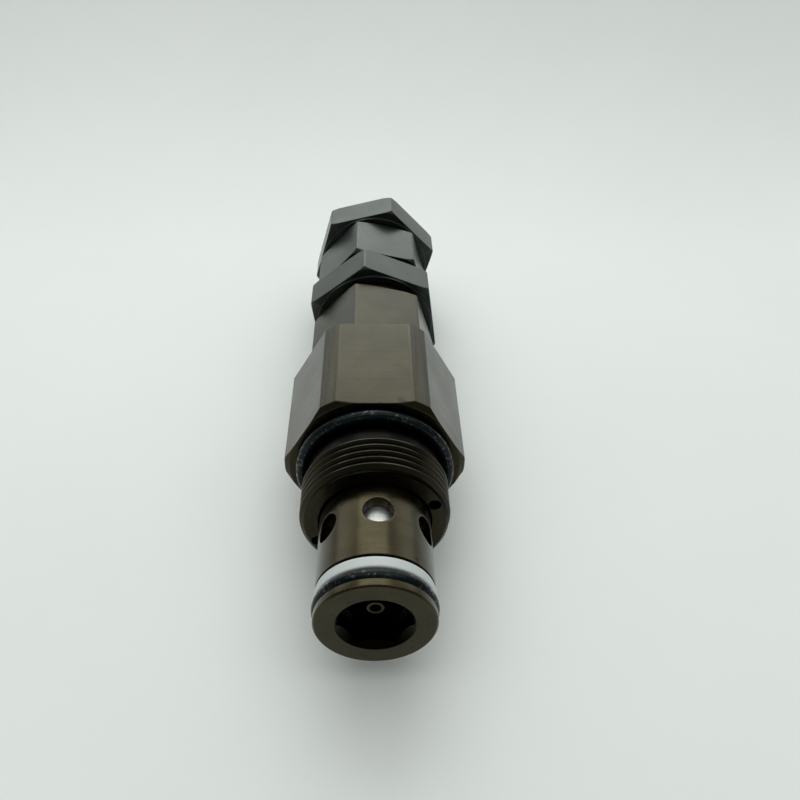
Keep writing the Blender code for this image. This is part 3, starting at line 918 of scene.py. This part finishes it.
def make_inner_pieces():
    round_fine = even_angles(INNER_SIDES)
    poppet = soften([
        (-37.2 * MM, 2.3 * MM),
        (-37.2 * MM, 4.5 * MM),
        (-34.3 * MM, 7.4 * MM),
        (-30.6 * MM, 7.4 * MM),
        (-30.2 * MM, 10.15 * MM),
        (-15.2 * MM, 10.15 * MM),
        (-15.0 * MM, 9.75 * MM),
        (-14.2 * MM, 9.75 * MM),
        (-14.0 * MM, 10.15 * MM),
        (-8.0 * MM, 10.15 * MM, 0.4 * MM),
        (-8.0 * MM, 6.5 * MM),
        (-30.0 * MM, 6.5 * MM),
        (-30.0 * MM, 2.3 * MM),
    ])
    turned(poppet, round_fine).finish("main_cone", "main_poppet", GROUND_STEEL, ["main_poppet"])
    piston = soften([
        (-42.3 * MM, 1.2 * MM),
        (-42.3 * MM, 2.0 * MM, 0.25 * MM),
        (-29.7 * MM, 2.0 * MM),
        (-29.7 * MM, 5.9 * MM),
        (-28.2 * MM, 5.9 * MM),
        (-28.2 * MM, 3.4 * MM),
        (-25.0 * MM, 3.0 * MM),
        (-25.0 * MM, 0.7 * MM),
        (-40.0 * MM, 0.7 * MM),
        (-40.3 * MM, 1.2 * MM),
    ])
    stem = turned(piston, even_angles(STEM_SIDES))
    stem.finish("orifice_stem", "orifice_piston", SLEEVE_STEEL, ["orifice_piston"])
    seat = soften([
        (-3.0 * MM, 1.0 * MM),
        (-3.0 * MM, 4.2 * MM, 0.4 * MM),
        (2.3 * MM, 4.2 * MM),
        (2.3 * MM, 12.0 * MM),
        (4.6 * MM, 12.0 * MM),
        (4.6 * MM, 10.4 * MM),
        (6.9 * MM, 10.4 * MM),
        (6.9 * MM, 12.0 * MM),
        (9.0 * MM, 12.0 * MM),
        (9.0 * MM, 2.3 * MM),
        (8.7 * MM, 2.0 * MM),
        (5.0 * MM, 2.0 * MM),
        (5.0 * MM, 1.0 * MM),
    ])
    turned(seat, round_fine).finish("pilot_seat_disc", "body", GROUND_STEEL, ["pilot_seat"])
    tip = 0.02 * MM
    cone = soften([
        (6.7 * MM, tip, 0.0),
        (6.7 * MM, 0.5 * MM),
        (13.8 * MM, 4.6 * MM),
        (13.8 * MM, 5.6 * MM),
        (15.6 * MM, 5.6 * MM),
        (15.6 * MM, 3.0 * MM),
        (20.0 * MM, 2.7 * MM),
        (20.0 * MM, tip, 0.0),
    ])
    capped_round(cone, "pilot_cone", "pilot_poppet", ["pilot_poppet"])
    follower = soften([
        (47.0 * MM, tip, 0.0),
        (47.0 * MM, 2.7 * MM),
        (52.3 * MM, 3.0 * MM),
        (52.3 * MM, 5.7 * MM),
        (55.0 * MM, 5.7 * MM, 0.3 * MM),
        (55.0 * MM, tip, 0.0),
    ])
    capped_round(follower, "spring_follower", "set_piston", ["spring_seat"])
    piston = soften([
        (55.3 * MM, tip, 0.0),
        (55.3 * MM, 3.0 * MM),
        (63.5 * MM, 3.0 * MM),
        (63.5 * MM, 7.2 * MM),
        (67.0 * MM, 7.2 * MM),
        (67.0 * MM, 5.5 * MM),
        (69.4 * MM, 5.5 * MM),
        (69.4 * MM, 7.2 * MM),
        (74.0 * MM, 7.2 * MM),
        (74.0 * MM, 5.0 * MM),
        (77.0 * MM, 5.0 * MM),
        (77.0 * MM, tip, 0.0),
    ])
    capped_round(piston, "set_piston_rod", "set_piston", ["set_piston"])


def capped_round(outline, name, body, nodes):
    """A turned piece without a bore: the last ring at each end is closed by a face."""
    skin = Skin()
    angles = even_angles(SOLID_SIDES)
    rows = [
        [skin.polar(station, radius, angle) for angle in angles] for station, radius in outline
    ]
    for near, far in zip(rows, rows[1:]):
        skin.bridge(near, far)
    skin.face(rows[0])
    skin.face(rows[-1])
    return skin.finish(name, body, GROUND_STEEL, nodes)


def make_pilot_housing():
    start = HEX_LENGTH + CLEARANCE
    outline = soften([
        (HOUSING_START, 6.5 * MM),
        (HOUSING_START, 12.0 * MM, 0.4 * MM),
        (13.4 * MM, 12.0 * MM),
        (14.2 * MM, 13.7 * MM),
        (29.3 * MM, 13.7 * MM),
        (29.3 * MM, 11.9 * MM),
        (31.9 * MM, 11.9 * MM),
        (31.9 * MM, 13.7 * MM),
        (start, 13.7 * MM),
        (start, SMALL_CORNER, 0.2 * MM),
        (HOUSING_HEX_END - 1.0 * MM, SMALL_CORNER),
        (HOUSING_HEX_END, 17.0 * MM),
        (HOUSING_HEX_END, 15.6 * MM, 0.05 * MM),
        (HOUSING_END, 15.6 * MM, 0.25 * MM),
        (HOUSING_END, 12.6 * MM),
        (HOUSING_END - 0.3 * MM, THREAD24_BORE),
        (49.2 * MM, THREAD24_BORE),
        (49.2 * MM, 11.2 * MM),
        (36.5 * MM, 11.2 * MM),
        (36.5 * MM, 6.5 * MM),
    ])
    rule = hexagon_cut(SMALL_APOTHEM, SMALL_TURN, start, HOUSING_HEX_END)
    angles = hexagon_angles(SMALL_APOTHEM, SMALL_CORNER, SMALL_TURN)
    skin = turned(divide_cones(outline, ROW_SPACING), angles, rule)
    housing = skin.finish("neck_housing", "body", BLACK_STEEL, ["pilot_housing"])
    tool = Skin()
    hole = 1.5 * MM
    station = 11.5 * MM
    rows = []
    for z in (-14.5 * MM, 14.5 * MM):
        rows.append([
            tool.point(hole * math.sin(a), station + hole * math.cos(a), z)
            for a in even_angles(HOLE_SIDES)
        ])
    tool.bridge(rows[0], rows[1])
    tool.face(rows[0])
    tool.face(rows[1])
    drill(housing, tool, "cross_hole")


def make_high_pressure_plug():
    skin = Skin()
    angles = hexagon_angles(SMALL_APOTHEM, SMALL_CORNER, SMALL_TURN)
    thread_start = 53.6 * MM
    thread_end = PLUG_HEX - 0.6 * MM
    first, last = right_hand_thread(
        skin, angles, thread_start, thread_end, THREAD24_ROOT, THREAD24_CREST,
        THREAD24_PITCH, fade_start=0.9 * MM, fade_end=0.7 * MM,
    )
    outline = soften([
        (PLUG_HEX, THREAD24_ROOT),
        (PLUG_HEX, 17.3 * MM, 0.15 * MM),
        (PLUG_HEX + 0.9 * MM, SMALL_CORNER, 0.2 * MM),
        (PLUG_END - 1.7 * MM, SMALL_CORNER, 0.2 * MM),
        (PLUG_END, 15.3 * MM, 0.15 * MM),
        (PLUG_END, THREAD24_BORE + 0.4 * MM),
        (PLUG_END - 0.4 * MM, THREAD24_BORE),
        (84.0 * MM, THREAD24_BORE),
        (84.0 * MM, 7.5 * MM),
        (59.2 * MM, 7.5 * MM),
        (59.2 * MM, 3.3 * MM),
        (57.2 * MM, 3.3 * MM),
        (57.2 * MM, 6.0 * MM),
        (PLUG_START, 6.0 * MM),
        (PLUG_START, 10.9 * MM, 0.4 * MM),
        (43.2 * MM, 10.9 * MM),
        (43.2 * MM, 9.3 * MM),
        (45.8 * MM, 9.3 * MM),
        (45.8 * MM, 10.9 * MM),
        (53.0 * MM, 10.9 * MM),
    ])
    rule = hexagon_cut(SMALL_APOTHEM, SMALL_TURN, PLUG_HEX, PLUG_END)
    rows = []
    for station, radius in divide_cones(outline, ROW_SPACING):
        in_hex = station > PLUG_HEX - STEP_ASIDE and radius > THREAD24_BORE + 0.6 * MM
        rows.append([
            skin.polar(station, rule(station, radius, angle) if in_hex else radius, angle)
            for angle in angles
        ])
    for near, far in zip([last] + rows, rows + [first]):
        skin.bridge(near, far)
    skin.finish("setting_plug", "high_pressure_plug", NUT_STEEL, ["high_pressure_plug"])


def make_low_pressure_screw():
    skin = Skin()
    angles = even_angles(SCREW_SIDES, NUT_TURNS["rear_lock_nut"])
    first, last = right_hand_thread(
        skin, angles, 86.9 * MM, WRENCH_START - 0.8 * MM, THREAD24_ROOT, THREAD24_CREST,
        THREAD24_PITCH, fade_start=0.9 * MM, fade_end=0.7 * MM,
    )
    outline = soften([
        (WRENCH_START - 0.4 * MM, THREAD24_ROOT, 0.05 * MM),
        (WRENCH_START, THREAD24_ROOT, 0.0),
        (WRENCH_START + STEP_ASIDE, THREAD24_ROOT, 0.0),
        (SCREW_END - 0.8 * MM, THREAD24_ROOT),
        (SCREW_END, THREAD24_ROOT - 0.8 * MM, 0.1 * MM),
        (SCREW_END, PILOT_PORT + 0.8 * MM, 0.1 * MM),
        (SCREW_END - 0.8 * MM, PILOT_PORT),
        (105.0 * MM, PILOT_PORT),
        (103.0 * MM, 2.0 * MM),
        (SCREW_START, 2.0 * MM),
        (SCREW_START, 7.2 * MM, 0.3 * MM),
        (79.6 * MM, 7.2 * MM),
        (79.6 * MM, 5.5 * MM),
        (82.0 * MM, 5.5 * MM),
        (82.0 * MM, 7.2 * MM),
        (86.5 * MM, 7.2 * MM),
        (86.6 * MM, 11.0 * MM),
    ])

    def wrench_flats(station, radius, angle):
        if station < WRENCH_START + STEP_ASIDE / 2.0 or radius < PILOT_PORT + 1.5 * MM:
            return radius
        facing = abs(math.cos(angle - math.radians(NUT_TURNS["rear_lock_nut"])))
        return smooth_min(radius, WRENCH_FLAT / max(facing, 0.2))

    rows = []
    for station, radius in divide_cones(outline, ROW_SPACING):
        rows.append([
            skin.polar(station, wrench_flats(station, radius, angle), angle) for angle in angles
        ])
    for near, far in zip([last] + rows, rows + [first]):
        skin.bridge(near, far)
    skin.finish("setting_screw", "low_pressure_screw", NUT_STEEL, ["low_pressure_screw"])


def make_lock_nut(node, name):
    boss, end, _ = span(node)
    station = boss + NUT_BOSS_HEIGHT
    outline = soften([
        (boss, THREAD24_BORE + 0.5 * MM),
        (boss, NUT_BOSS_RADIUS, 0.2 * MM),
        (station, NUT_BOSS_RADIUS, 0.05 * MM),
        (station, 19.9 * MM, 0.15 * MM),
        (station + 0.6 * MM, NUT_CORNER, 0.25 * MM),
        (end - 0.8 * MM, NUT_CORNER, 0.25 * MM),
        (end, 19.7 * MM, 0.15 * MM),
        (end, THREAD24_BORE + 0.5 * MM),
        (end - 0.5 * MM, THREAD24_BORE),
        (boss + 0.5 * MM, THREAD24_BORE),
    ])
    turn = NUT_TURNS[node]
    hexagon = hexagon_cut(NUT_APOTHEM, turn, station, end)

    def rule(row_station, radius, angle):
        outside = radius > NUT_BOSS_RADIUS + STEP_ASIDE
        return hexagon(row_station, radius, angle) if outside else radius

    angles = hexagon_angles(NUT_APOTHEM, NUT_CORNER, turn)
    nut = turned(divide_cones(outline, ROW_SPACING), angles, rule)
    nut.finish(name, node, NUT_STEEL, [node])


# ---------------------------------------------------------------- stage


def make_floor():
    """A pale card that lies flat under the valve and curves up behind it."""
    skin = bmesh.new()
    half_width = 1.3
    flat_end = 0.13
    sweep = 0.34
    steps = 24
    profile = [(-1.2, 0.0), (0.0, 0.0), (flat_end, 0.0)]
    for step in range(1, steps + 1):
        angle = math.radians(SWEEP_TILT * step / steps)
        profile.append((flat_end + sweep * math.sin(angle), sweep * (1.0 - math.cos(angle))))
    rows = [[skin.verts.new((x, y, z)) for x in (-half_width, half_width)] for y, z in profile]
    for near, far in zip(rows, rows[1:]):
        skin.faces.new((near[0], near[1], far[1], far[0]))
    data = bpy.data.meshes.new("pale_floor")
    skin.to_mesh(data)
    skin.free()
    data.shade_smooth()
    data.materials.append(floor_finish())
    floor = bpy.data.objects.new("pale_floor", data)
    bpy.context.collection.objects.link(floor)


def make_light(name, place, target, size, power, colour):
    data = bpy.data.lights.new(name, "AREA")
    data.shape = "RECTANGLE"
    data.size, data.size_y = size
    data.energy = power
    data.color = colour
    light = bpy.data.objects.new(name, data)
    light.location = place
    light.rotation_euler = (Vector(target) - Vector(place)).to_track_quat("-Z", "Y").to_euler()
    bpy.context.collection.objects.link(light)


def make_lights():
    above = (0.0, 0.05, 0.0)
    make_light("window", (-0.08, 1.0, 1.0), above, (1.1, 0.9), 5.6, (0.98, 1.0, 0.98))
    make_light("wall", (0.0, 1.6, 0.62), above, (5.0, 1.4), 29.0, (0.96, 1.0, 0.98))
    make_light("ceiling", (0.0, 0.10, 1.3), above, (3.0, 1.6), 14.5, (0.98, 1.0, 0.97))
    world = bpy.data.worlds.new("studio")
    bpy.context.scene.world = world
    world.use_nodes = True
    ambient = world.node_tree.nodes["Background"]
    ambient.inputs["Color"].default_value = (0.95, 1.0, 0.97, 1.0)
    ambient.inputs["Strength"].default_value = 0.20


def make_camera():
    data = bpy.data.cameras.new("camera")
    data.sensor_width = SENSOR
    data.lens = LENS
    data.clip_start = 0.01
    camera = bpy.data.objects.new("camera", data)
    bpy.context.collection.objects.link(camera)
    turn = Matrix.Rotation(math.radians(CAMERA_YAW), 4, "Z")
    turn @= Matrix.Rotation(math.radians(90.0 - CAMERA_DOWN), 4, "X")
    turn @= Matrix.Rotation(math.radians(CAMERA_ROLL), 4, "Z")
    place = Vector((0.0, SEAT_Y, AXIS_Z)) + CAMERA_OFFSET
    camera.matrix_world = Matrix.Translation(place) @ turn
    bpy.context.scene.camera = camera


make_camera()
make_valve_body()
make_sleeve()
make_seals()
make_coil("main_spring", -27.9 * MM, 2.0 * MM, 5.2 * MM, 0.65 * MM, 9, (
    ("closing_spring_front", 3.0, "main_poppet", "orifice_piston_lift", 1.2 * MM, "rear"),
    ("closing_spring_rear", 9.0, "body", "main_poppet_lift", 3.5 * MM, "rear"),
))
make_coil("pilot_spring", 15.9 * MM, 52.0 * MM, 4.25 * MM, 0.8 * MM, 10, (
    ("setting_spring_front", 2.5, "body", "pilot_poppet_lift", 1.5 * MM, "rear"),
    ("setting_spring_second", 5.0, "body", "high_pressure_travel", 3.0 * MM, "front"),
    ("setting_spring_third", 7.5, "plug_travel", "low_pressure_travel", 1.5 * MM, "front"),
    ("setting_spring_rear", 10.0, "screw_travel", "set_piston_shift", 2.5 * MM, "front"),
))
make_inner_pieces()
make_pilot_housing()
make_high_pressure_plug()
make_low_pressure_screw()
make_lock_nut("front_lock_nut", "front_nut")
make_lock_nut("rear_lock_nut", "rear_nut")
make_floor()
make_lights()
bpy.context.scene.view_settings.view_transform = "Standard"
